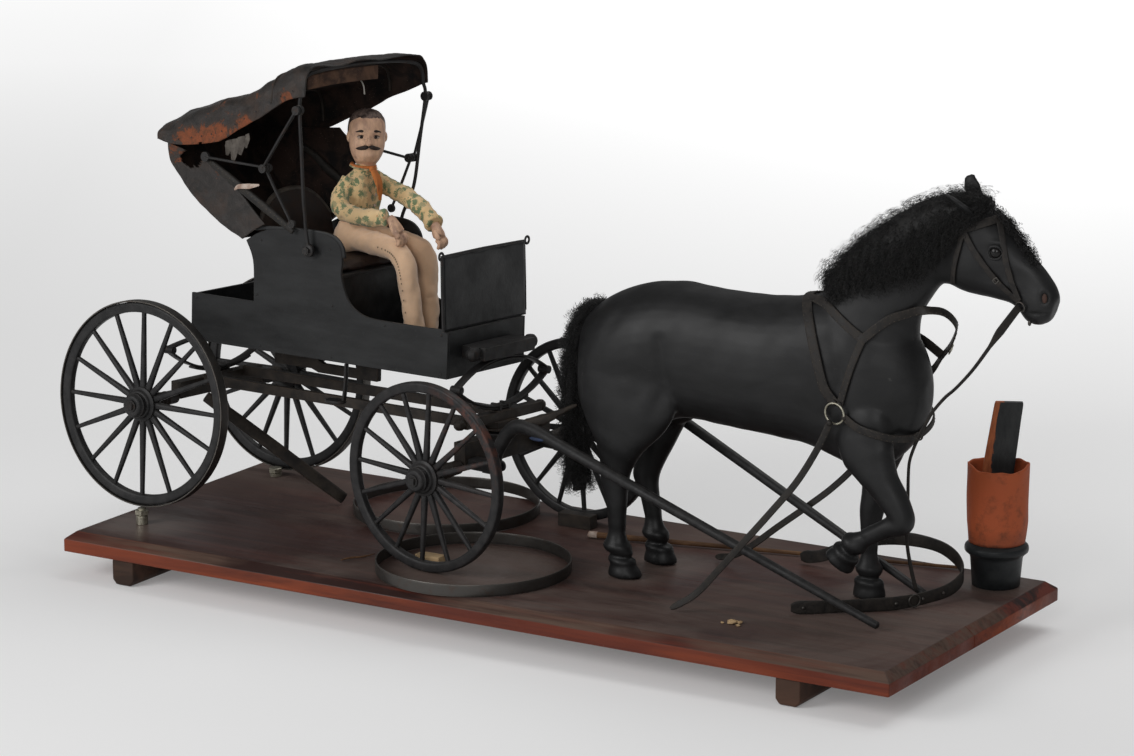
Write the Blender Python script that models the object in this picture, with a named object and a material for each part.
"""Carved horse and wagon on a two-board base.

Lengths are written in millimetres and turned into metres where a mesh is made.
X runs along the base towards the horse's head, Y across it, Z up; the floor is z = 0.
The numbers below count from the middle of the base, DROP above the floor. The end of main()
moves every piece by SHIFT, so that the battens stand on the floor and the whole is centred.
The wagon stands a little askew on its base, so its pieces are written in the wagon's
own level frame and placed by WAGON; the turned front gear has its own frame, FRONT.
"""
import bpy
import bmesh
import numpy as np
from math import cos, sin, pi, radians
from mathutils import Matrix, Vector
from mathutils.bvhtree import BVHTree

MM = 0.001
GAP = 0.3

# Base boards
BASE_LENGTH = 864.0
BASE_WIDTH = 334.0
BOARD_THICK = 19.0
BATTEN_HIGH = 24.5
BATTEN_WIDE = 24.0
DROP = 5.5
SHIFT = (-6.3, -0.8, DROP)
EDGE_CHAMFER = 9.0
SPLIT_Y = -5.0
UNDER = BATTEN_HIGH - DROP
TOP = BOARD_THICK + UNDER

# Running gear
REAR_RADIUS = 98.0
FRONT_RADIUS = 87.5
TYRE_THICK = 1.6
RIM_WIDE = 9.5
TYRE_WIDE = 11.0
ROUND_SIDES = 32
RIM_DEEP = 9.5
SPOKES = 16
WHEELBASE = 329.5
REAR_NEAR_Y = -114.0
REAR_FAR_Y = 106.0
FRONT_NEAR_Y = -111.0
FRONT_FAR_Y = 115.0
BORE_R = 3.3
KING_X = WHEELBASE - 1.8
HEEL_X = 34.4
HEEL_Z = 2.7
HEEL_Y = 52.4

# Body of the wagon, in the wagon frame
BODY_X0 = 14.0
BODY_X1 = 311.0
BODY_Z0 = 56.0
BODY_Z1 = 101.2
BODY_HALF = 61.5
PANEL = 3.0

# Horse
HORSE_Y = 3.0
COLLAR_MIDDLE = (350.0, 3.0, 285.0)
BREAST_MIDDLE = (340.0, 3.0, 208.0)

WORLD = Matrix.Identity(4)


def turned(x, y, z, yaw, roll):
    """A frame at a world point, turned about Z and then leaned about its own X."""
    place = Matrix.Translation(Vector((x, y, z)) * MM)
    return place @ Matrix.Rotation(radians(yaw), 4, "Z") @ Matrix.Rotation(radians(roll), 4, "X")


WAGON = turned(-383.03, 17.14, 146.07, -2.79, -3.0)
FRONT = turned(-55.1, 6.5, TOP + FRONT_RADIUS + 0.4, -6.5, 0.0)


def carried(point, frame, other=WORLD):
    """A point of one frame as another frame reads it."""
    return np.array((other.inverted() @ frame @ (Vector(point) * MM)) / MM)


def material(name, colour, roughness, metallic=0.0):
    """A Principled material with its colour, roughness and metallic value."""
    mat = bpy.data.materials.new(name)
    mat.use_nodes = True
    shader = mat.node_tree.nodes["Principled BSDF"]
    shader.inputs["Base Color"].default_value = (*colour, 1.0)
    shader.inputs["Roughness"].default_value = roughness
    shader.inputs["Metallic"].default_value = metallic
    return mat


def clear_scene():
    """Take the startup objects away."""
    for obj in list(bpy.data.objects):
        bpy.data.objects.remove(obj, do_unlink=True)


# Shapes. Each returns (points, faces) in millimetres.

def rows_to_faces(rows, count, around=True, caps=True):
    """Faces of a grid of rows, each with count points, closed round and capped."""
    faces = []
    last = count if around else count - 1
    for i in range(rows - 1):
        for j in range(last):
            k = (j + 1) % count
            faces.append((i * count + j, i * count + k, (i + 1) * count + k, (i + 1) * count + j))
    if caps:
        faces.append(tuple(range(count - 1, -1, -1)))
        faces.append(tuple((rows - 1) * count + j for j in range(count)))
    return faces


def loft(rings):
    """A closed skin through rings of equal point count."""
    pts = np.concatenate([np.asarray(ring, float) for ring in rings])
    return pts, rows_to_faces(len(rings), len(rings[0]))


def box(x0, x1, y0, y1, z0, z1):
    """A plain block."""
    ring = [(x0, y0), (x1, y0), (x1, y1), (x0, y1)]
    return loft([[(x, y, z0) for x, y in ring], [(x, y, z1) for x, y in ring]])


def prism(outline, y0, y1):
    """An outline of (x, z) points carried from y0 to y1."""
    return loft([[(x, y0, z) for x, z in outline], [(x, y1, z) for x, z in outline]])


def plate(outline, x0, x1):
    """An outline of (y, z) points carried from x0 to x1."""
    return loft([[(x0, y, z) for y, z in outline], [(x1, y, z) for y, z in outline]])


def circle(count, phase=0.0):
    """Angles round a full turn."""
    return np.arange(count) * 2 * pi / count + phase


def turned_shape(profile, centre, axis, count, phase=0.0):
    """A solid of revolution; profile is (distance along the axis, radius)."""
    a = circle(count, phase)
    rings = []
    for t, r in profile:
        c, s = r * np.cos(a), r * np.sin(a)
        flat = np.full(count, t)
        order = {"x": (flat, c, s), "y": (s, flat, c), "z": (c, s, flat)}[axis]
        rings.append(np.stack(order, 1) + centre)
    return loft(rings)


def ring_shape(profile, centre, axis, count):
    """A closed ring: a closed profile of (along, radius) points turned about the axis."""
    rings = []
    for angle in circle(count, pi / count):
        c, s = cos(angle), sin(angle)
        row = []
        for t, r in profile:
            row.append({"x": (t, r * c, r * s), "y": (r * s, t, r * c), "z": (r * c, r * s, t)}[axis])
        rings.append(np.asarray(row) + centre)
    rows, count_p = len(rings), len(profile)
    pts = np.concatenate(rings)
    faces = []
    for i in range(rows):
        n = (i + 1) % rows
        for j in range(count_p):
            k = (j + 1) % count_p
            faces.append((i * count_p + j, i * count_p + k, n * count_p + k, n * count_p + j))
    return pts, faces


def smooth_path(points, steps):
    """A Catmull-Rom curve through the points, steps pieces between each pair."""
    p = np.asarray(points, float)
    p = np.vstack([2 * p[0] - p[1], p, 2 * p[-1] - p[-2]])
    out = []
    for i in range(1, len(p) - 2):
        for t in np.arange(steps) / steps:
            a = 2 * p[i] + (p[i + 1] - p[i - 1]) * t
            b = (2 * p[i - 1] - 5 * p[i] + 4 * p[i + 1] - p[i + 2]) * t * t
            c = (3 * p[i] - p[i - 1] - 3 * p[i + 1] + p[i + 2]) * t ** 3
            out.append(0.5 * (a + b + c))
    out.append(p[-2])
    return np.asarray(out)


def sweep(path, half_wide, half_thick, count=4, normal=(0, 0, 1)):
    """A bar along a path. half_wide lies across the path and the normal; values may be lists."""
    path = np.asarray(path, float)
    n = len(path)
    wide = np.broadcast_to(half_wide, n)
    thick = np.broadcast_to(half_thick, n)
    normals = np.broadcast_to(np.asarray(normal, float), (n, 3))
    tangent = np.gradient(path, axis=0)
    tangent /= np.linalg.norm(tangent, axis=1)[:, None]
    side = np.cross(tangent, normals)
    side /= np.linalg.norm(side, axis=1)[:, None]
    up = np.cross(side, tangent)
    if count == 4:
        corners = [(-1, -1), (1, -1), (1, 1), (-1, 1)]
    else:
        corners = [(cos(a), sin(a)) for a in circle(count)]
    rings = []
    for i in range(n):
        rings.append([path[i] + side[i] * wide[i] * u + up[i] * thick[i] * v for u, v in corners])
    return loft(rings)


def ball(centre, rx, ry, rz, count=10, rows=7):
    """A closed egg shape."""
    rings = []
    for i in range(rows):
        t = -1 + 2 * (i + 0.35) / (rows - 0.3)
        t = max(-0.97, min(0.97, t))
        r = (1 - t * t) ** 0.5
        a = circle(count)
        ring = np.stack([rx * r * np.cos(a), ry * r * np.sin(a), np.full(count, rz * t)], 1)
        rings.append(ring + centre)
    return loft(rings)


def merged(shapes):
    """Several shapes as one list of points and faces."""
    pts, faces, base = [], [], 0
    for p, f in shapes:
        pts.append(np.asarray(p, float))
        faces += [tuple(base + i for i in face) for face in f]
        base += len(p)
    return np.concatenate(pts), faces


def mesh_of(name, shape, frame, origin):
    """A mesh with outward faces, its points measured from the origin."""
    pts, faces = shape
    mesh = bpy.data.meshes.new(name)
    mesh.from_pydata([tuple((np.asarray(p) - origin) * MM) for p in pts], [], faces)
    work = bmesh.new()
    work.from_mesh(mesh)
    bmesh.ops.recalc_face_normals(work, faces=work.faces)
    work.to_mesh(mesh)
    work.free()
    return mesh


def smoothed(mesh, angle):
    """Smooth shading with sharp edges above an angle."""
    mesh.polygons.foreach_set("use_smooth", [True] * len(mesh.polygons))
    work = bmesh.new()
    work.from_mesh(mesh)
    for edge in work.edges:
        edge.smooth = len(edge.link_faces) == 2 and edge.calc_face_angle(0.0) < radians(angle)
    work.to_mesh(mesh)
    work.free()


def piece(name, shape, mat, frame=WORLD, origin=(0, 0, 0), smooth=0):
    """One named object from one closed shape."""
    mesh = mesh_of(name, shape, frame, np.asarray(origin, float))
    if smooth:
        smoothed(mesh, smooth)
    mesh.materials.append(mat)
    obj = bpy.data.objects.new(name, mesh)
    bpy.context.collection.objects.link(obj)
    obj.matrix_world = frame @ Matrix.Translation(Vector(origin) * MM)
    return obj


def fused(name, first, others, mat, frame=WORLD, origin=(0, 0, 0), smooth=0, cut=()):
    """One closed body: the first shape joined with the others and cut by the last list."""
    obj = piece(name, first, mat, frame, origin)
    helpers = []
    for kind, shapes in (("UNION", others), ("DIFFERENCE", cut)):
        for shape in shapes:
            tool = piece(name + "_tool", shape, mat, frame, origin)
            mod = obj.modifiers.new("join", "BOOLEAN")
            mod.operation = kind
            mod.solver = "EXACT"
            mod.use_self = kind == "UNION"
            mod.object = tool
            helpers.append(tool)
    bpy.context.view_layer.update()
    graph = bpy.context.evaluated_depsgraph_get()
    result = bpy.data.meshes.new_from_object(obj.evaluated_get(graph))
    obj.modifiers.clear()
    for tool in helpers:
        bpy.data.objects.remove(tool, do_unlink=True)
    work = bmesh.new()
    work.from_mesh(result)
    bmesh.ops.remove_doubles(work, verts=work.verts, dist=0.00002)
    bmesh.ops.dissolve_degenerate(work, edges=work.edges, dist=0.00002)
    work.to_mesh(result)
    work.free()
    obj.data = result
    result.name = name
    if smooth:
        smoothed(result, smooth)
    return obj


# The base

def chamfered_half(y0, y1, outer_low):
    """One board of the base: a chamfer on its outer long edge and on both ends."""
    c = EDGE_CHAMFER
    h = BASE_LENGTH / 2
    rings = []
    for z, inset in ((UNDER, 0.0), (TOP - c * 0.8, 0.0), (TOP, c)):
        low = y0 + (inset if outer_low else 0.0)
        high = y1 - (0.0 if outer_low else inset)
        x = h - inset
        rings.append([(-x, low, z), (x, low, z), (x, high, z), (-x, high, z)])
    return loft(rings)


def build_base(wood, end_wood):
    """Two boards on two battens."""
    w = BASE_WIDTH / 2
    piece("board_near", chamfered_half(-w, SPLIT_Y - GAP / 2, True), wood)
    piece("board_far", chamfered_half(SPLIT_Y + GAP / 2, w, False), wood)
    for name, x in (("batten_rear", -366.0), ("batten_front", 335.0)):
        b = BATTEN_WIDE / 2
        top, foot = UNDER - GAP, -DROP
        outline = [(x - b, top), (x - b, foot + 5), (x - b + 4, foot), (x + b - 4, foot), (x + b, foot + 5), (x + b, top)]
        piece(name, prism(outline, -w + 3, w - 3), end_wood)


def peg(name, x, y, rise, metal):
    """A pin in the board with a hexagon nut, where a rear wheel stands."""
    neck = TOP + rise * 0.55
    shaft = turned_shape([(TOP + GAP, 5.6), (neck, 5.6), (neck, 4.0), (TOP + rise, 4.0)], (x, y, 0), "z", 12)
    nut = turned_shape([(neck + 0.4, 6.8), (neck + 5.0, 6.8)], (x, y, 0), "z", 6)
    fused(name, shaft, [nut], metal, smooth=30)


def build_props(metal, wood, dark):
    """Pins and blocks that hold the wheels."""
    peg("peg_rear_near", -385.4, -107.0, 16.0, metal)
    peg("peg_rear_far", -380.5, 103.3, 6.8, metal)
    piece("block_front_near", box(-96.0, -70.0, -80.0, -68.0, TOP + GAP, TOP + 6.5), wood)
    piece("block_front_far", box(-48.0, -12.0, 91.0, 104.0, TOP + GAP, TOP + 13.0), dark)


# Wheels and axles

def hub_profile(side):
    """The nave from inside to outside as (distance, radius); side is -1 for the near wheels."""
    rows = [(-15, 9.0), (-5, 16.5), (5, 16.5), (6.5, 13.5), (18, 10.0)]
    return [(t * side, r) for t, r in rows]


def spoke(angle, r0, r1):
    """One square spoke that tapers from the nave to the felloe."""
    c, s = cos(angle), sin(angle)
    rings = []
    for r, wide, deep in ((r0, 3.75, 3.3), (r1, 2.3, 2.4)):
        corners = [(-wide, -deep), (wide, -deep), (wide, deep), (-wide, deep)]
        rings.append([(r * c - u * s, v, r * s + u * c) for u, v in corners])
    return loft(rings)


def wheel(name, y, radius, side, rolled, mat, frame):
    """Nave, sixteen spokes and felloe as the one body that turns on the axle arm."""
    inner = radius - RIM_DEEP
    w = RIM_WIDE / 2
    at = (0.0, y, 0.0)
    profile = [(-w, radius), (w, radius), (w - 0.8, inner), (-w + 0.8, inner)]
    rim = ring_shape(profile, at, "y", ROUND_SIDES)
    parts = [turned_shape(hub_profile(side), at, "y", SPOKES, pi / SPOKES)]
    for i in range(SPOKES):
        pts, faces = spoke(2 * pi * i / SPOKES, 8.0, inner + 3.0)
        parts.append((np.asarray(pts) + at, faces))
    bore = turned_shape([(-40.0, BORE_R), (40.0, BORE_R)], at, "y", 10)
    obj = fused(name, rim, [merged(parts)], mat, frame, at, 35, cut=[bore])
    obj.matrix_world = obj.matrix_world @ Matrix.Rotation(radians(-rolled), 4, "Y")


def tyre(name, centre, radius, axis, mat, frame):
    """A flat steel hoop."""
    w = TYRE_WIDE / 2
    t = TYRE_THICK
    profile = [(-w, radius), (w, radius), (w, radius - t), (-w, radius - t)]
    return piece(name, ring_shape(profile, centre, axis, ROUND_SIDES), mat, frame, centre, 35)


def build_wheels(paint, steel):
    """Rear wheels with their tyres on, and the front wheels, which have lost theirs."""
    rear = REAR_RADIUS - TYRE_THICK - GAP
    for side, sign, rear_y, front_y, rolled in (("near", -1, REAR_NEAR_Y, FRONT_NEAR_Y, -3.5),
                                                ("far", 1, REAR_FAR_Y, FRONT_FAR_Y, 4.5)):
        wheel("wheel_rear_" + side, rear_y, rear, sign, 0.0, paint, WAGON)
        wheel("wheel_front_" + side, front_y, FRONT_RADIUS, sign, rolled, paint, FRONT)
        tyre("tyre_rear_" + side, (0, rear_y, 0), REAR_RADIUS, "y", steel, WAGON)
    for name, x, y in (("loose_tyre_near", -34.0, -77.5), ("loose_tyre_far", -165.0, 80.0)):
        z = TOP + GAP + TYRE_WIDE / 2
        tyre(name, (x, y, z), FRONT_RADIUS + TYRE_THICK, "z", steel, WORLD)


def axle_shape(n0, n1):
    """A turned axle: an arm with an end nut in each nave, then a collar and a ringed round."""
    arm = BORE_R - 0.4
    half = [(-21.0, 4.7), (-18.4, 4.7), (-18.4, arm), (15.6, arm), (15.6, 7.4), (20.5, 7.8), (22.5, 6.2), (25.0, 7.4),
            (46.0, 6.6)]
    rows = [(n0 + t, r) for t, r in half] + [(n1 - t, r) for t, r in reversed(half)]
    return turned_shape(rows, (0, 0, 0), "y", 8)


def build_axles(iron):
    """Axles with their wooden beds; the front one carries the turning plate and the shaft forks."""
    bed = prism([(-6.0, -2.0), (6.0, -2.0), (6.0, 14.2), (-6.0, 14.2)], -62.0, 56.0)
    seat = box(-6.3, 6.3, -12.0, 12.0, 14.0, 16.6)
    fused("axle_rear", axle_shape(REAR_NEAR_Y, REAR_FAR_Y), [bed, seat], iron, WAGON, (0, 0, 0), 35)
    king = carried((KING_X, 0, 0), WAGON, FRONT)
    at = (king[0], king[1], 0.0)
    bed = prism([(-6.5, -3.0), (6.5, -3.0), (6.5, 22.0), (-6.5, 22.0)], -58.0, 58.0)
    disc = turned_shape([(21.5, 21.0), (24.0, 21.0)], at, "z", 14)
    pin = turned_shape([(20.0, 3.0), (33.5, 3.0)], at, "z", 8)
    forks = []
    for y in (-HEEL_Y, HEEL_Y):
        forks.append(box(4.0, 26.0, y - 7.4, y + 7.4, HEEL_Z - 4.5, HEEL_Z + 4.5))
        for s in (-1, 1):
            forks.append(box(24.0, 39.0, min(y + s * 5.2, y + s * 7.8), max(y + s * 5.2, y + s * 7.8),
                             HEEL_Z - 5.2, HEEL_Z + 5.2))
        forks.append(turned_shape([(-9.0, 2.0), (9.0, 2.0)], (HEEL_X, y, HEEL_Z), "y", 8))
    fused("axle_front", axle_shape(FRONT_NEAR_Y, FRONT_FAR_Y), [bed, disc, pin] + forks, iron, FRONT, at, 35)


def half_ellipse(x, z_eye, z_mid, half, sign):
    """Path of one leaf of an elliptic spring across the wagon."""
    y = np.linspace(-half, half, 9)
    rise = 1 - (np.abs(y) / half) ** 2.2
    start = z_eye + sign * 2.2
    return np.stack([np.full(9, x), y, start + (z_mid - start) * rise], 1)


def build_springs(steel):
    """Two full elliptic springs: an upper and a lower leaf joined at their eyes."""
    for name, x, z_eye, low, high, half in (("spring_rear", 0.0, 46.0, 20.5, BODY_Z0 - GAP - 1.5, 76.0),
                                            ("spring_front", WHEELBASE - 1.0, 50.0, 26.7, 71.5, 70.0)):
        upper = sweep(half_ellipse(x, z_eye, high, half, 1), 4.5, 1.3)
        lower = sweep(half_ellipse(x, z_eye, low, half, -1), 4.5, 1.3)
        second = sweep(half_ellipse(x, z_eye, low, half, -1)[2:7] - (0, 0, 2.2), 4.2, 1.3)
        eyes = [turned_shape([(-5.5, 3.8), (5.5, 3.8)], (x, s * half, z_eye), "x", 8) for s in (-1, 1)]
        fused(name, upper, [lower, second] + eyes, steel, WAGON, (0, 0, 0), 30)


def build_undercarriage(wood, iron):
    """The reaches, the ball-ended bar and the upper turning plate in one frame, and the bar on the dash."""
    bar = box(WHEELBASE - 6.5, WHEELBASE + 4.5, -60.0, 60.0, 12.5, 21.5)
    parts = [ball((WHEELBASE - 1.0, s * 64.0, 17.0), 5.6, 6.5, 5.6, 8, 5) for s in (-1, 1)]
    parts += [box(6.4, WHEELBASE - 5.0, y - 3.0, y + 3.0, 8.0, 17.3) for y in (-30.0, 30.0)]
    parts.append(turned_shape([(5.2, 21.0), (7.2, 21.0)], (KING_X, 0, 0), "z", 14))
    parts.append(box(KING_X - 10.0, KING_X + 10.0, -17.0, 17.0, 6.8, 13.0))
    parts.append(box(WHEELBASE - 6.0, WHEELBASE + 4.0, -12.0, 12.0, 21.0, 22.7))
    bore = turned_shape([(0.0, 4.4), (18.0, 4.4)], (KING_X, 0, 0), "z", 8)
    fused("undercarriage", bar, parts, wood, WAGON, (0, 0, 0), 35, cut=[bore])
    bar = box(WHEELBASE - 17.5, WHEELBASE + 8.0, -40.0, 40.0, 73.4, 85.0)
    knobs = [ball((WHEELBASE - 1.0, s * 45.0, 79.5), 6.5, 8.5, 7.5, 8, 5) for s in (-1, 1)]
    fused("cross_bar_upper", bar, knobs, iron, WAGON, (0, 0, 0), 35)


def build_under_body(wood, iron):
    """The slotted board under the body, the step and the loose brace."""
    outline = [(60, 30), (104, 30), (112, 27), (182, 27), (182, 55.6), (158, 55.6), (158, 36), (118, 36), (110, 40),
               (108, 48), (112, 55.6), (66, 55.6), (60, 46)]
    piece("under_board", prism(outline, 8.0, 14.0), wood, WAGON)
    stem = sweep([(195, -58, 55.5), (195, -58.5, 40), (194, -60, 19.6)], 2.4, 1.3, normal=(1, 0, 0))
    pad = turned_shape([(18.6, 8.0), (21.4, 8.0)], (0, 0, 0), "z", 14)
    pad = (np.asarray(pad[0]) * (1.35, 1.0, 1.0) + (187.0, -63.0, 0), pad[1])
    fused("step", stem, [pad], iron, WAGON, (0, 0, 0), 30)
    brace = sweep([(-366.0, -29.0, 148.0), (-314.0, 11.0, 95.5), (-262.0, 50.0, TOP + 5.4)], 6.0, 2.0,
                  normal=(0.35, -0.75, 0.55))
    piece("loose_brace", brace, wood)


# Body of the wagon

def side_outline():
    """The side panel: low tail, high seat side with a curled front, low footwell."""
    return [(BODY_X0, BODY_Z0), (BODY_X1, BODY_Z0), (BODY_X1, 99.2), (306.8, 99.2), (306.8, BODY_Z1), (259, 101), (228, 101.5), (212, 104.5),
            (200, 112), (193, 124), (189, 138), (190, 150), (188, 162), (181, 169.5), (170, 173), (150, 173.8),
            (103, 170.8), (78, 158), (84, 147), (87.5, 128), (88, BODY_Z1), (BODY_X0, BODY_Z1)]


def build_body(wood, leather):
    """Two side panels on a tub with a seat box, the seat and the dash."""
    h = BODY_HALF
    inner = h - PANEL - GAP
    piece("side_near", prism(side_outline(), -h, -h + PANEL), wood, WAGON)
    piece("side_far", prism(side_outline(), h - PANEL, h), wood, WAGON)
    x0, x1, floor = BODY_X0, BODY_X1, BODY_Z0 + 4.0
    tub = [(x0, BODY_Z0), (x1, BODY_Z0), (x1, BODY_Z1 - 2), (x1 - PANEL, BODY_Z1 - 2), (x1 - PANEL, floor),
           (x0 + PANEL, floor), (x0 + PANEL, BODY_Z1 - 1), (x0, BODY_Z1 - 1)]
    seat = [(90.5, floor - 1), (93.5, floor - 1), (93.5, 133), (178, 133), (178, floor - 1), (181, floor - 1),
            (181, 133), (184, 133), (184, 136), (90.5, 136)]
    fused("body_box", prism(tub, -inner, inner), [prism(seat, 0.4 - inner, inner - 0.4)], wood, WAGON)
    pad = [(98, 136.3), (181, 136.3), (183.5, 139), (181, 142.5), (172, 144.5), (110, 145.5), (98, 143)]
    piece("seat_cushion", prism(pad, -inner + 0.5, inner - 0.5), leather, WAGON)
    y = np.linspace(-54, 54, 11)
    arch = [(54, 136.6)] + [(v, 200.0 - 28.0 * (abs(v) / 54.0) ** 2.6) for v in y[::-1]] + [(-54, 136.6)]
    pts, faces = plate(arch, 0.0, 4.0)
    pts = np.asarray(pts)
    pts[:, 0] += 93.0 - (pts[:, 2] - 136.6) * 0.22
    piece("seat_back", (pts, faces), leather, WAGON)
    pts, faces = box(0.0, 2.6, -65.0, 65.0, 99.6, 168.0)
    pts = np.asarray(pts)
    pts[:, 0] += 307.2 - (pts[:, 2] - 99.6) * 0.055
    loops = [ring_shape([(-0.9, 4.6), (0.9, 4.6), (0.9, 1.9), (-0.9, 1.9)], (304.9, y, 168.6), "x", 8)
             for y in (-66.0, 70.0)]
    ears = [box(303.8, 305.6, 62.0, 67.5, 163.0, 168.0)]
    fused("dash", (pts, faces), loops + ears, wood, WAGON, (0, 0, 0), 30)


# The folding top

def roof_section(x, low, shoulder, crown, half, skew):
    """Points of the roof cloth across the wagon at one bow."""
    pts = [(-half - 2.0, low), (-half - 1.0, (low + shoulder) / 2), (-half + 3.0, shoulder - 3.0),
           (-half * 0.82, shoulder + 2.5), (-half * 0.45, crown - 3.0), (0.0, crown), (half * 0.45, crown - 1.0),
           (half * 0.82, shoulder + 4.0), (half - 3.0, shoulder - 3.0), (half + 1.0, (low + shoulder) / 2),
           (half + 2.0, low)]
    return np.array([(x + skew * y, y, z) for y, z in pts])


def shell(rows, thick):
    """A closed sheet: the rows and the same rows moved inwards, walled round the edge."""
    grid = np.asarray(rows, float)
    du = np.gradient(grid, axis=0)
    dv = np.gradient(grid, axis=1)
    normal = np.cross(du, dv)
    normal /= np.linalg.norm(normal, axis=2)[:, :, None]
    inner = grid - normal * thick
    a, b = grid.shape[:2]
    pts = np.concatenate([grid.reshape(-1, 3), inner.reshape(-1, 3)])
    n = a * b
    faces = []
    for i in range(a - 1):
        for j in range(b - 1):
            q = (i * b + j, i * b + j + 1, (i + 1) * b + j + 1, (i + 1) * b + j)
            faces.append(q)
            faces.append(tuple(n + k for k in reversed(q)))
    edge = [j for j in range(b)] + [i * b + b - 1 for i in range(1, a)]
    edge += [(a - 1) * b + j for j in range(b - 2, -1, -1)] + [i * b for i in range(a - 2, 0, -1)]
    for k in range(len(edge)):
        p, q = edge[k], edge[(k + 1) % len(edge)]
        faces.append((q, p, n + p, n + q))
    return pts, faces


def roof_rows():
    """The roof cloth from the rear bow to the front lip, sagging between the bows."""
    stations = [(-22, 244, 256, 266, 68, 0.02), (0, 241, 264, 276, 70, 0.04), (30, 244, 277, 286, 73, 0.05),
                (62, 251, 286, 292, 76, 0.07), (92, 266, 296, 303, 78, 0.09), (118, 280, 309, 318, 79, 0.11),
                (142, 293, 316, 328, 80, 0.12), (160, 300, 320, 331, 80, 0.13), (170, 303, 319, 329, 80, 0.13)]
    return [roof_section(*s) for s in stations]


def curtain_rows():
    """The back curtain with its two side returns, from the rear bow down to the seat."""
    levels = [((-25, 243), (-2, 237), 65), ((-10, 221), (34, 226), 65), ((22, 189), (64, 200), 65),
              ((50, 172), (84, 184), 64.6), ((74, 160.0), (101, 175), 64.4)]
    rows = []
    for (cx, cz), (ex, ez), half in levels:
        mid = ((cx + ex) / 2, (cz + ez) / 2)
        row = [(ex, -half, ez), (mid[0], -half, mid[1]), (cx + 4, -half, cz), (cx, -half + 6, cz - 1),
               (cx - 2, -half * 0.4, cz - 1), (cx - 2, half * 0.4, cz - 1), (cx, half - 6, cz - 1),
               (cx + 4, half, cz), (mid[0], half, mid[1]), (ex, half, ez)]
        rows.append(row)
    return rows


def front_bow(iron):
    """The front bow: a leg from each seat pin and an arch under the roof's front edge."""
    near = [(156, -67.5, 159.0), (153, -68.5, 178), (154, -74, 205), (152, -79.5, 288)]
    arch = [(151, -76.5, 303), (153, -73.0, 310), (157, -64, 315), (160, -40, 321), (164, 0, 324.5), (170, 40, 323),
            (175, 64, 316), (176.5, 73.0, 310), (177, 76.0, 303)]
    far = [(178, 79.5, 290), (171, 74, 205), (163, 68.5, 178), (160, 67.5, 159.0)]
    bow = sweep(near + arch + far, 1.7, 1.7, 4, (0.97, 0.1, 0.2))
    parts = []
    for foot, top, s in ((near[0], near[-1], -1), (far[-1], far[0], 1)):
        x, y, z = foot[0], foot[1], foot[2] - 1.5
        parts.append(turned_shape([(-2.2, 6.0), (2.2, 6.0)], (x, y, z), "y", 8))
        parts.append(turned_shape([(-5.7, 2.2), (5.7, 2.2)], (x, y, z), "y", 6))
        parts.append(turned_shape([(-1.6, 3.8), (1.6, 3.8)], (x, y + s * 3.6, z), "y", 6))
        parts.append(turned_shape([(-2.0, 4.8), (2.0, 4.8)], top, "y", 8))
    fused("front_bow", bow, parts, iron, WAGON, (158, 0, 157.5), 40)


def side_irons(name, s, top, knee, foot, rear, iron):
    """Upper, lower and rear irons of one side, riveted at the knee."""
    a, b, c = 82.6, 78.4, 74.2
    shape = sweep([(top[0], s * 84.6, top[1]), (knee[0], s * a, knee[1])], 1.6, 1.4, 6)
    parts = [sweep([(knee[0], s * b, knee[1]), (foot[0], s * 72.5, foot[1])], 1.6, 1.4, 6),
             sweep([(knee[0], s * c, knee[1]), (rear[0], s * 74.5, rear[1])], 1.5, 1.4, 6)]
    for (x, z), y, r in ((top, 84.6, 4.4), (knee, a, 4.2), (knee, b, 4.2), (knee, c, 4.2), (foot, 72.5, 4.0),
                         (rear, 74.5, 5.0)):
        parts.append(turned_shape([(-1.8, r), (1.8, r)], (x, s * y, z), "y", 6))
    parts.append(turned_shape([(-6.5, 1.7), (6.5, 1.7)], (knee[0], s * b, knee[1]), "y", 6))
    fused(name, shape, parts, iron, WAGON, (knee[0], s * b, knee[1]), 40)


def build_top(cloth, iron, leather):
    """Cloth, bow, side irons and the leather-covered props."""
    piece("roof_cloth", shell(roof_rows()[::-1], 1.6), cloth, WAGON, (0, 0, 0), 60)
    piece("back_curtain", shell(curtain_rows(), 1.6), cloth, WAGON, (0, 0, 0), 60)
    front_bow(iron)
    side_irons("side_irons_near", -1, (152, 288), (113.0, 230.5), (140.0, 181.0), (39.0, 233.5), iron)
    side_irons("side_irons_far", 1, (178, 290), (164.0, 230.5), (146.6, 181.0), (61.0, 243.0), iron)
    for side, s, dx in (("near", -1, 0.0), ("far", 1, 4.4)):
        low = (137.0 + dx, s * 66.2, 172.5)
        prop = sweep([low, (104, s * 68.8, 193), (70, s * 69.8, 212.5), (33 + dx * 3, s * 70.2, 233)],
                     [2.6, 4.4, 4.4, 2.4], [1.6, 2.4, 2.4, 1.6], 8, (0, 1, 0))
        piece("prop_" + side, prop, leather, WAGON, low, 40)


# The driver: a carved figure in sewn clothes

def egg(cx, cy, cz, rx, ry, n=12):
    """A level oval of n points."""
    a = circle(n)
    return np.stack([cx + rx * np.cos(a), cy + ry * np.sin(a), np.full(n, cz)], 1)


def limb(points, sizes, steps, n=8):
    """A round sleeve or leg along a smooth path."""
    path = smooth_path(points, steps)
    r = np.interp(np.linspace(0, 1, len(path)), np.linspace(0, 1, len(sizes)), sizes)
    return sweep(path, r, r, n, (0, 1, 0.15))


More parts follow.
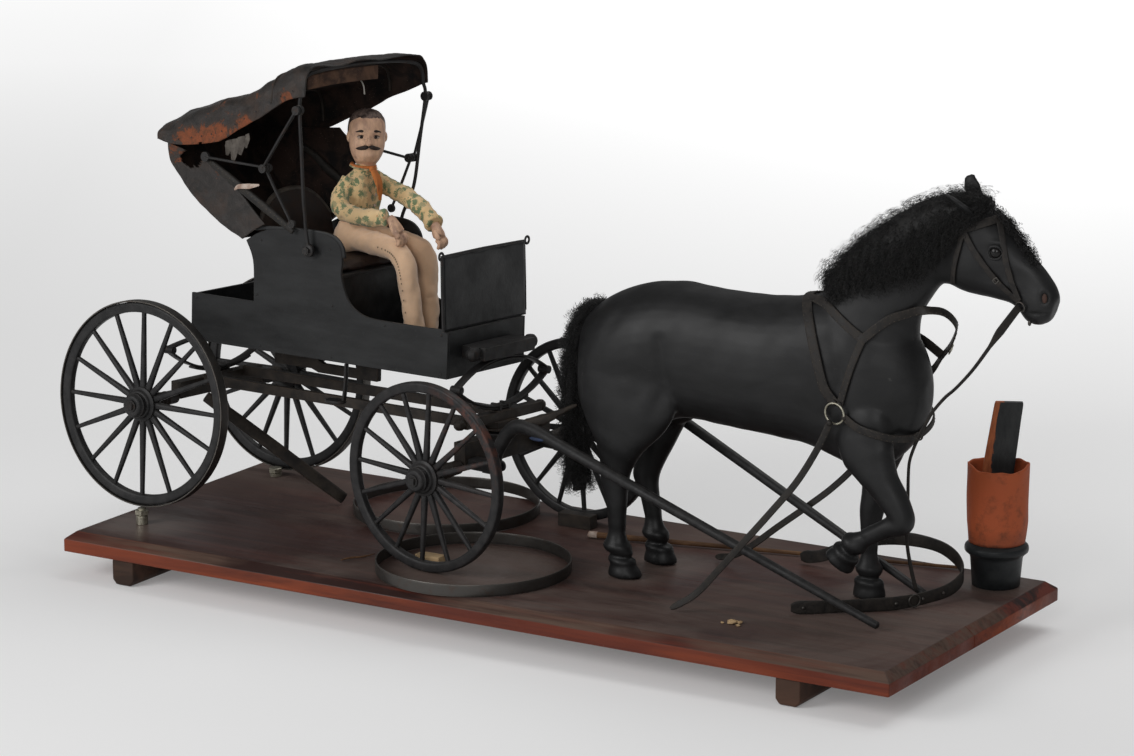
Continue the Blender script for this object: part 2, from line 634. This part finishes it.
def build_driver(skin, shirt, felt, scarf):
    """Head, clothes and hands, in the wagon frame."""
    y = 20.0
    head = loft([egg(153, y, 224, 7.5, 7.5), egg(154, y, 232, 8.0, 8.0), egg(157, y, 235, 12.0, 10.5),
                 egg(158, y, 242, 14.5, 13.0), egg(156.5, y, 254, 17.0, 15.2), egg(155, y, 268, 17.2, 15.4),
                 egg(154.5, y, 277, 13.5, 12.0), egg(154.5, y, 281.5, 6.0, 5.5)])
    nose = loft([egg(172.5, y, 250.0, 5.0, 3.6, 6), egg(173.0, y, 254.0, 3.6, 2.6, 6), egg(171.5, y, 261.0, 1.8, 1.8, 6)])
    ears = [ball((156.5, y + s * 15.6, 256.5), 3.2, 2.0, 5.2, 8, 5) for s in (-1, 1)]
    fused("driver_head", head, [nose] + ears, skin, WAGON, (153, y, 226), 50)
    torso = loft([egg(146, y, 176, 17, 21), egg(147, y, 186, 17.5, 21.5), egg(149, y, 198, 17, 22),
                  egg(150, y, 209, 15.5, 22.5), egg(151, y, 217, 12, 17), egg(152, y, 222.6, 9.2, 10.5)])
    sleeve = [8.0, 9.0, 9.2, 9.0, 8.6, 8.4]
    near = limb([(148, 4, 213), (146, -7, 200), (150, -11, 191), (162, -12, 186), (180, -9, 184), (198, -3, 186.5)], sleeve, 1)
    far = limb([(150, 36, 213), (160, 45, 206), (182, 48, 198), (204, 45, 188), (222, 39, 177)], sleeve, 1)
    fused("driver_shirt", torso, [near, far], shirt, WAGON, (146, y, 176), 60)
    grip = [4.6, 6.2, 7.0, 4.5], [3.8, 4.2, 4.4, 3.2]
    hand = sweep([(203, -2.2, 182.5), (206.5, -1.5, 176), (211, 0, 168.6), (216, 1.5, 164.0)], *grip, 8, (1, 0, 0.6))
    piece("driver_hand_near", hand, skin, WAGON, (203, -2.2, 182.5), 50)
    hand = sweep([(223.5, 38.8, 174.5), (227, 37.5, 169.0), (231, 36.5, 163.5), (233, 36.0, 159.5)], *grip, 8,
                 (1, 0, 0.6))
    piece("driver_hand_far", hand, skin, WAGON, (223.5, 38.8, 174.5), 50)
    seat = loft([egg(142, y, 147.0, 15, 19), egg(142, y, 151, 18, 22), egg(143, y, 160, 18.5, 22),
                 egg(144, y, 168, 17, 20.5), egg(145, y, 175.6, 14.5, 17.5)])
    leg_size = [11.0, 11.4, 11.0, 10.8, 10.4, 10.0]
    near = limb([(146, 11, 159), (172, 8, 158.5), (198, 5, 155.5), (209, 4, 150), (215, 4, 139), (219, 4.5, 120),
                 (229, 6, 62.4)], leg_size, 1)
    far = limb([(146, 30, 159), (174, 34, 158.5), (199, 37, 155), (210, 38, 149), (215, 38, 139), (216.5, 38, 120),
                (218.5, 38, 62.4)], leg_size, 1)
    fused("driver_trousers", seat, [near, far], felt, WAGON, (142, y, 150), 60)
    tie = sweep([(168.0, 17.0, 224.5), (172.0, 18.0, 217), (172.2, 19.0, 207), (171.5, 20.5, 196)],
                [2.0, 5.0, 4.0, 1.6], [1.4, 2.0, 1.6, 1.0], 6, (1, 0, 0.1))
    piece("driver_neckerchief", tie, scarf, WAGON, (168, 17, 224), 60)


# The horse

def horse_ring(top, bottom, half, y=HORSE_Y, n=16):
    """An upright oval section between a top and a bottom point in the X-Z plane."""
    top, bottom = np.asarray(top, float), np.asarray(bottom, float)
    mid, arm = (top + bottom) / 2, (top - bottom) / 2
    out = []
    for a in circle(n, pi / n):
        w = half * sin(a)
        h = cos(a)
        h = np.sign(h) * abs(h) ** 0.92
        out.append((mid[0] + arm[0] * h, y + w, mid[1] + arm[1] * h))
    return out


def body_sections():
    """Barrel of the horse from the rump to the chest: x, top, bottom, half width."""
    return [(37, 240, 200, 9), (40, 266, 178, 22), (50, 278, 166, 31), (64, 289, 163, 37), (84, 298.5, 164, 40.5),
            (110, 306, 173, 41.5), (142, 309, 186, 39), (182, 306.5, 184, 39.5), (228, 306.5, 181.5, 41),
            (268, 312, 178, 39.5), (292, 317, 170, 38), (316, 314, 164, 36.5), (340, 304, 168, 34),
            (360, 292, 184, 28), (374, 272, 203, 19), (380, 250, 221, 9)]


def neck_sections():
    """Neck and head: crest point, under point and half width."""
    return [((272, 306), (352, 226), 31), ((284, 326), (369, 258), 27), ((303, 346), (368, 284), 23.5),
            ((326, 365), (370, 303), 21), ((350, 382), (379, 320), 19), ((374, 396), (389, 333), 18.5),
            ((396, 405), (399, 335), 19.5), ((416, 409), (411, 331), 21), ((433, 405), (428, 328.5), 20.5),
            ((449, 394), (444, 327.5), 17.5), ((463, 379), (455, 325.5), 14.5), ((476, 366), (463, 320), 12.5),
            ((487, 355), (471, 311.5), 13), ((495, 345), (482, 309), 12.5), ((499, 335), (492, 313), 8)]


def leg(sections, y):
    """A leg from level sections, listed from the ground up: z, back x, front x, half width."""
    rings = [egg((back + front) / 2, y, z, (front - back) / 2, half, 8) for z, back, front, half in sections]
    return loft(rings)


def ears(grow=0.0):
    """The two carved ears: the far one upright, the near one laid back."""
    g = np.full(4, grow)
    far = sweep([(421, 12, 398), (416, 13, 408), (411, 14, 419), (407.5, 14.5, 429.5 + grow)],
                g + (5.5, 6.5, 5.5, 1.4), g + (2.6, 2.6, 2.0, 1.2), 6, (0, 1, 0.1))
    near = sweep([(421, -8, 401), (412, -10, 409), (403, -11.5, 414), (394.5 - grow, -12.5, 417.5)],
                 g + (4.5, 5.5, 4.0, 1.4), g + (2.0, 2.0, 1.6, 1.0), 6, (0, 0.25, 1))
    return [far, near]


def head_details():
    """Eyes and ears."""
    parts = [ball((447.5, HORSE_Y + s * 15.4, 372.0), 6.0, 3.6, 5.4, 8, 4) for s in (-1, 1)]
    return parts + ears()


def build_horse(black):
    """The carved horse as one body: barrel, neck and head, three standing legs and the raised one."""
    trunk = loft([horse_ring((x, t), (x, b), w) for x, t, b, w in body_sections()])
    neck = loft([horse_ring(t, b, w, n=14) for t, b, w in neck_sections()])
    sole = TOP + GAP
    hind_near = leg([(sole, 78, 112, 12.5), (45, 79, 109, 11.5), (51, 81, 104, 9.5), (58, 78, 104, 9.0),
                     (66, 75, 98, 8.0), (84, 77, 95, 7.2), (106, 76, 96, 8.0), (122, 70, 97, 9.5), (138, 70, 101, 11),
                     (156, 66, 113, 13), (176, 56, 134, 14.5), (198, 48, 146, 15), (225, 50, 140, 12)], -26.0)
    hind_far = leg([(sole, 82, 116, 12.5), (45, 83, 114, 11.5), (52, 85, 110, 9.5), (59, 83, 107, 9.0),
                    (68, 82, 103, 8.0), (86, 81, 99, 7.2), (104, 76, 96, 8.0), (117, 70, 96, 9.5), (130, 71, 101, 11),
                    (148, 66, 111, 13), (170, 58, 123, 14.5), (195, 52, 138, 15), (225, 50, 140, 12)], 31.0)
    fore_far = leg([(sole, 297, 328, 12.5), (46, 298, 327, 11.5), (55, 300, 324, 9.5), (63, 301, 323, 9.0),
                    (74, 303, 321, 8.0), (90, 304, 320, 7.2), (104, 303, 322, 8.2), (120, 302, 326, 9.5),
                    (138, 304, 331, 10), (156, 303, 336, 12), (178, 300, 346, 13), (205, 300, 350, 13)], 29.0)
    path = [(327, 226), (332, 200), (338, 182), (352, 160), (368, 138), (371, 127), (357, 121), (336, 109), (324, 102), (317, 93),
            (309.5, 82.5)]
    wide = [19, 27, 25.5, 16, 12, 10.5, 9, 8, 9.5, 12, 15.5]
    deep = [4, 10.5, 12.5, 12, 11, 10.5, 9, 8, 9, 11, 12.5]
    raised = sweep([(x, -26.0, z) for x, z in path], wide, deep, 8, (0, 1, 0))
    parts = [neck, hind_near, hind_far, fore_far, raised] + head_details()
    return fused("horse_body", trunk, parts, black, smooth=60)


def build_hair(hair):
    """Mane with forelock, and the tail."""
    rows = []
    grow = [3, 7, 10, 12, 12, 11, 9]
    lowest = [-40, -58, -76, -88, -88, -66, -30]
    lift = np.array([1.0, 1.15, 1.1, 0.8, 0.62, 0.5, 0.25])
    for (top, bottom, half), rise, low in zip(neck_sections()[1:8], grow, lowest):
        top, bottom = np.asarray(top, float), np.asarray(bottom, float)
        mid, arm = (top + bottom) / 2, (top - bottom) / 2
        span = np.linalg.norm(arm)
        inner, outer = [], []
        for a, k in zip(np.radians(np.linspace(34, low, 7)), lift):
            for bucket, extra in ((inner, 2.2), (outer, 2.2 + k * rise * 0.9)):
                h = np.sign(cos(a)) * abs(cos(a)) ** 0.92
                point = mid + arm * h * (1 + extra / span)
                bucket.append((point[0], HORSE_Y + (half + extra) * sin(a), point[1]))
        rows.append(outer + inner[::-1])
    lock = sweep([(410, 3, 414), (424, 3, 413.4), (442.5, 2, 406), (460, 2, 392.5), (474, 2, 376), (483, 3, 365.5)],
                 [6, 8, 9, 8, 6, 3], [2.0, 2.2, 2.4, 2.2, 2.0, 1.2], 8, (0.7, 0, 0.7))
    fused("mane", loft(rows), [lock], hair, smooth=70, cut=ears(0.7))
    tail = sweep([(59, 3, 289.4), (48, 3, 288.6), (35, 3, 280.5), (27, 3, 258), (24, 3, 225), (23.5, 3, 190), (24, 3, 155),
                  (27, 3, 125), (30, 3, 104)], [4, 9, 12, 14, 16, 17, 18, 20, 12],
                 [2.0, 5, 9, 11.0, 11, 11.5, 12, 13, 12], 10, (0.7, 0, 0.7))
    piece("tail", tail, hair, smooth=70)


def skin_of(obj):
    """A search tree over an object's faces."""
    return BVHTree.FromObject(obj, bpy.context.evaluated_depsgraph_get())


def off_skin(skin, point, lift):
    """The nearest place on the skin, lifted off it, and the way out there."""
    place, normal, _, _ = skin.find_nearest(Vector(point) * MM)
    return np.array(place) / MM + np.array(normal) * lift, np.array(normal)


def laid_strap(skin, points, wide, thick, lift=2.2, steps=2, middle=None, reach=6.0):
    """A flat strap on the skin. Further off than reach it keeps its path and faces away from middle."""
    path, normals = [], []
    for point in smooth_path(points, steps):
        place, normal = off_skin(skin, point, lift)
        if middle is not None and np.linalg.norm(place - point) > reach:
            place = point
            normal = (point - middle) / np.linalg.norm(point - middle)
        path.append(place)
        normals.append(normal)
    normals = np.array(normals)
    for _ in range(3):
        normals[1:-1] = (normals[:-2] + 2 * normals[1:-1] + normals[2:]) / 4
    return sweep(path, wide / 2, thick / 2, 4, normals)


def free_strap(points, wide, thick, normals, steps=1):
    """A flat strap in the air; normals face out of its broad side."""
    path = smooth_path(points, steps)
    n = np.asarray(normals, float)
    if n.ndim == 2:
        n = smooth_path(n, steps)
    return sweep(path, wide / 2, thick / 2, 4, n)


def flat_ring(centre, normal, radius):
    """A round steel ring that lies in the plane of the skin."""
    pts, faces = ring_shape([(0, radius + 1.2), (1.3, radius), (0, radius - 1.2), (-1.3, radius)], (0, 0, 0), "y", 12)
    turn = Vector((0, 1, 0)).rotation_difference(Vector(normal)).to_matrix()
    return np.array([turn @ Vector(p) for p in pts]) + centre, faces


def build_harness(skin, leather):
    """The saddle, withers, shoulder, collar and breast straps sewn to two rings, and the bridle."""
    near, way_near = off_skin(skin, (309, -36, 218.6), 2.6)
    far, way_far = off_skin(skin, (309, 42, 218.6), 2.6)
    rings = [flat_ring(near, way_near, 9.4), flat_ring(far, way_far, 9.4)]
    saddle = [near + (-1, 0, 9), (299, -36, 238.6), (291, -36, 262), (279.5, -26, 291), (267, -8, 308.5),
              (265, 3, 312), (267, 14, 308.5), (279.5, 32, 291), (291, 42, 262), (299, 42, 238.6),
              far + (-1, 0, 9)]
    withers = [(264.5, -5.5, 311), (283, -14, 311), (296, -18.5, 306), (312, -23, 295.5), (330, -24, 284)]
    shoulder = [near + (4, 0, 7.8), (317.6, -33, 241), (323, -31, 260.6), (330, -25, 284)]
    collar = [(328, -25, 282), (342, -20, 296), (354, -17, 305), (366.6, -12, 308.6), (385.7, -8, 312.9),
              (396, -2, 310.9), (401.6, 6, 301.8), (400.3, 12, 293.4), (388.2, 24, 275), (374.4, 34, 261.4),
              (362.4, 38, 242.4), (342, 43, 231), far + (5.5, 0, 5.5)]
    far_withers = [(264.5, 11.5, 311), (283, 20, 311), (298, 28, 305), (318, 36, 294), (351.6, 37, 278), (377, 32.5, 264.6)]
    breast = [near + (7.5, 0, -2), (331.6, -38.5, 209.5), (346, -39.5, 206.5), (359.5, -34, 203), (368.5, -21, 200.5),
              (374, -5, 200), (379, 6, 206), (378, 17, 211), (371, 29, 216), (357, 38, 218.5), (340, 42, 219.5),
              far + (7.5, 0, -2)]
    parts = [rings[1], laid_strap(skin, saddle, 9.0, 2.3, 2.7), laid_strap(skin, withers, 8.0, 1.4, 2.7),
             laid_strap(skin, shoulder, 6.5, 1.6, 2.5),
             laid_strap(skin, collar, 8.0, 1.8, 2.8, 2, COLLAR_MIDDLE),
             laid_strap(skin, far_withers, 8.0, 1.4, 2.7, 2, COLLAR_MIDDLE),
             laid_strap(skin, breast, 7.0, 1.5, 0.0, 2, BREAST_MIDDLE, 0.0)]
    fused("harness", rings[0], parts, leather, smooth=50)
    brow = [(425, -19, 388), (436, -17, 394), (443, -10, 399), (446, 3, 400.5), (443, 16, 399), (436, 23, 394),
            (425, 25, 388)]
    parts = []
    for s in (-1, 1):
        y = HORSE_Y
        cheek = [(425.5, y + s * 22, 388), (436, y + s * 22, 371), (447, y + s * 19, 356), (458, y + s * 16, 340),
                 (465, y + s * 14, 331)]
        throat = [(424.5, y + s * 22, 388), (414, y + s * 24, 368), (409, y + s * 22, 350), (408, y + s * 17, 337)]
        parts += [laid_strap(skin, cheek, 3.6, 1.5, 1.9, 1), laid_strap(skin, throat, 4.0, 1.4, 2.4, 1)]
    fused("bridle", laid_strap(skin, brow, 5.0, 1.6, 2.6), parts, leather, smooth=50)
    return near, far


def build_lines(skin, near, far, leather):
    """The rein, the two traces and the breeching strap that lies round the base."""
    bit, _ = off_skin(skin, (466, -17.5, 324), 3.0)
    rein = [bit, (457.2, -19, 306.5), (441, -19, 282), (430.6, -18, 268.4), (414.5, -16, 250.3), (403, -14, 239.8),
            (392, -13, 226.6), (385.5, -13.5, 215), (381, -14, 206.5), (378, -14, 200), (374.5, -12, 193.5),
            (367, -6, 178), (362, 2, 162),
            (359.5, 7, 140), (356, 13, 110), (354, 20, 90), (356, 26, 66), (359, 29, 50.5)]
    piece("rein", free_strap(rein, 3.8, 1.5, (0.75, -0.65, 0.15)), leather, smooth=50)
    trace = [near + (-3, -3.4, -7.5), (298, -47, 187), (285.6, -60, 159.6), (267, -71, 133), (247, -80, 106.7),
             (225.6, -88, 79.4), (206.6, -96, 56.2), (186, -103, TOP + 4.0)]
    piece("trace_near", free_strap(trace, 7.5, 1.8, (0.45, -0.75, 0.5), 2), leather, smooth=50)
    trace = [far + (-2, 3.4, -7), (303, 56, 180), (283, 57, 149), (260, 57, 125), (235, 55, 104), (207, 54, 82),
             (179, 55, 59.5), (158, 59, 46.6), (139, 62, TOP + 4.0)]
    piece("trace_far", free_strap(trace, 7.0, 1.8, (0.4, -0.7, 0.6), 2), leather, smooth=50)
    low = TOP + GAP + 6.0
    loop = [(278, -53, low), (297, -40, low), (322, -20, low), (350, 6, low), (369, 34, low + 2), (378, 60, 49),
            (380, 77, 57), (370, 88, 66), (352, 95, 73), (330, 96.5, 76), (305, 97, 75), (277, 96, 69), (249, 95, 57),
            (229, 95, 48), (209, 95, low)]
    path = smooth_path(loop, 2)
    out = np.cross(np.gradient(path, axis=0), (0, 0, 1.0))
    piece("breeching_strap", sweep(path, 6.0, 1.1, 4, out), leather, smooth=50)


# Shafts, loose pieces and the post

def build_shafts(paint):
    """The near shaft on its fork with the broken cross bar, and the far shaft, which has come off."""
    pin = np.array([HEEL_X, -HEEL_Y, HEEL_Z])
    neck = [(-0.5, 0, -5.5), (0, 0, 3), (1, 0.1, 17), (5, 0.3, 32), (14, 0.9, 45), (28, 1.8, 51.5), (43, 2.7, 48.5)]
    heel = [pin + p for p in neck]
    tip = carried((367.3, -60.6, TOP + 5.2), WORLD, FRONT)
    run = [heel[-1] + (tip - heel[-1]) * t for t in (0.1, 0.5, 1.0)]
    half = [4.6, 4.6, 4.6, 4.7, 4.9, 5.0, 4.9, 4.8, 4.4, 3.4]
    shaft = sweep(heel + run, half, half, 8, (0, 1, 0))
    crown = heel[5]
    stub = sweep([crown + (3, -2, -2), crown + (10, 14, 2.0), crown + (22, 34, 10.0)], [5.0, 4.4, 0.8],
                 [4.2, 3.8, 1.0], 4, (0, 0, 1))
    bore = turned_shape([(-12.0, 2.5), (12.0, 2.5)], pin, "y", 12)
    fused("shaft_near", shaft, [stub], paint, FRONT, tuple(pin), 45, cut=[bore])
    far = [(-5, 59.5, 158), (-3.5, 59.3, 176), (1, 58.8, 191), (9, 58.2, 202), (21, 57.3, 207.5), (35, 56.4, 204),
           (109, 52, 168.6), (240, 45.5, 105.0), (364, 39.8, 44.8)]
    half = [4.6, 4.6, 4.7, 4.9, 5.0, 4.9, 4.7, 4.3, 3.4]
    piece("shaft_far", sweep(far, half, half, 8, (0, 1, 0)), paint, WORLD, far[0], 45)


def build_whip(brown):
    """The whip stock that lies on the far side of the base."""
    whip = sweep([(0, 69, TOP + 3.6), (82, 88, TOP + 3.4), (205, 117, TOP + 2.8), (344, 152, TOP + 2.2)],
                 [3.0, 2.4, 1.8, 1.4], [3.0, 2.4, 1.8, 1.4], 8)
    piece("whip", whip, brown, smooth=50)


def build_post(black, orange, board):
    """Turned cup, sewn sleeve and the flat paddle whose handle stands in the cup."""
    at = (390.0, 125.0, 0.0)
    cup = ring_shape([(TOP + GAP, 0.8), (TOP + GAP, 21.5), (64, 23.5), (67.5, 25.5), (70, 28.0), (73.5, 28.6),
                      (76.5, 26.8), (78, 24.8), (78, 20.0), (60, 19.0), (56, 0.8)], at, "z", 16)
    piece("post_cup", cup, black, WORLD, at, 40)
    sleeve = ring_shape([(78.4, 25.0), (100, 27.2), (152, 27.4), (152, 26.0), (100, 25.8), (78.4, 23.6)], at, "z", 16)
    piece("post_sleeve", sleeve, orange, WORLD, at, 60)
    a = radians(26.0)
    rings = []
    for z, shift, half in ((61.0, -11.0, 5.0), (96.0, -7.5, 5.0), (100.0, -6.2, 15.0), (207.0, 8.6, 12.6)):
        ring = []
        for u, v in ((-half, -3), (half, -3), (half, 3), (-half, 3)):
            ring.append((at[0] + shift + u * cos(a) - v * sin(a), at[1] + u * sin(a) + v * cos(a), z))
        rings.append(ring)
    piece("paddle", loft(rings), board, WORLD, (at[0], at[1], 61.0))


def main():
    """Build every piece."""
    clear_scene()
    base_wood = material("base_wood", (0.105, 0.028, 0.018), 0.5)
    batten_wood = material("batten_wood", (0.13, 0.035, 0.02), 0.55)
    pin_metal = material("pin_metal", (0.42, 0.40, 0.33), 0.45, 0.8)
    raw_wood = material("raw_wood", (0.45, 0.31, 0.16), 0.7)
    wheel_paint = material("wheel_paint", (0.022, 0.024, 0.026), 0.42)
    gear_wood = material("gear_wood", (0.045, 0.036, 0.028), 0.6)
    body_paint = material("body_paint", (0.014, 0.016, 0.018), 0.4)
    iron = material("iron", (0.03, 0.029, 0.028), 0.5, 0.6)
    steel = material("steel", (0.06, 0.06, 0.058), 0.4, 0.8)
    cloth = material("top_cloth", (0.022, 0.024, 0.026), 0.6)
    hood_leather = material("prop_leather", (0.02, 0.017, 0.015), 0.6)
    seat_leather = material("seat_leather", (0.03, 0.018, 0.013), 0.55)
    skin = material("painted_skin", (0.52, 0.31, 0.22), 0.55)
    shirt = material("calico", (0.55, 0.40, 0.20), 0.85)
    felt = material("tan_felt", (0.50, 0.34, 0.20), 0.95)
    scarf = material("orange_scarf", (0.62, 0.20, 0.05), 0.8)
    black = material("horse_paint", (0.012, 0.013, 0.014), 0.35)
    hair = material("black_hair", (0.008, 0.008, 0.008), 0.6)
    strap_leather = material("strap_leather", (0.03, 0.024, 0.02), 0.55)
    cup_paint = material("cup_paint", (0.016, 0.02, 0.02), 0.4)
    sleeve_leather = material("sleeve_leather", (0.50, 0.12, 0.04), 0.65)
    paddle_paint = material("paddle_paint", (0.012, 0.014, 0.015), 0.4)
    brown = material("whip_wood", (0.10, 0.05, 0.025), 0.35)

    build_base(base_wood, batten_wood)
    build_props(pin_metal, raw_wood, gear_wood)
    build_wheels(wheel_paint, steel)
    build_axles(iron)
    build_springs(steel)
    build_undercarriage(gear_wood, iron)
    build_under_body(gear_wood, iron)
    build_body(body_paint, seat_leather)
    build_top(cloth, iron, hood_leather)
    build_driver(skin, shirt, felt, scarf)
    horse = build_horse(black)
    build_hair(hair)
    body_skin = skin_of(horse)
    near, far = build_harness(body_skin, strap_leather)
    build_lines(body_skin, near, far, strap_leather)
    build_shafts(wheel_paint)
    build_whip(brown)
    build_post(cup_paint, sleeve_leather, paddle_paint)
    for obj in bpy.data.objects:
        obj.location += Vector(SHIFT) * MM


main()
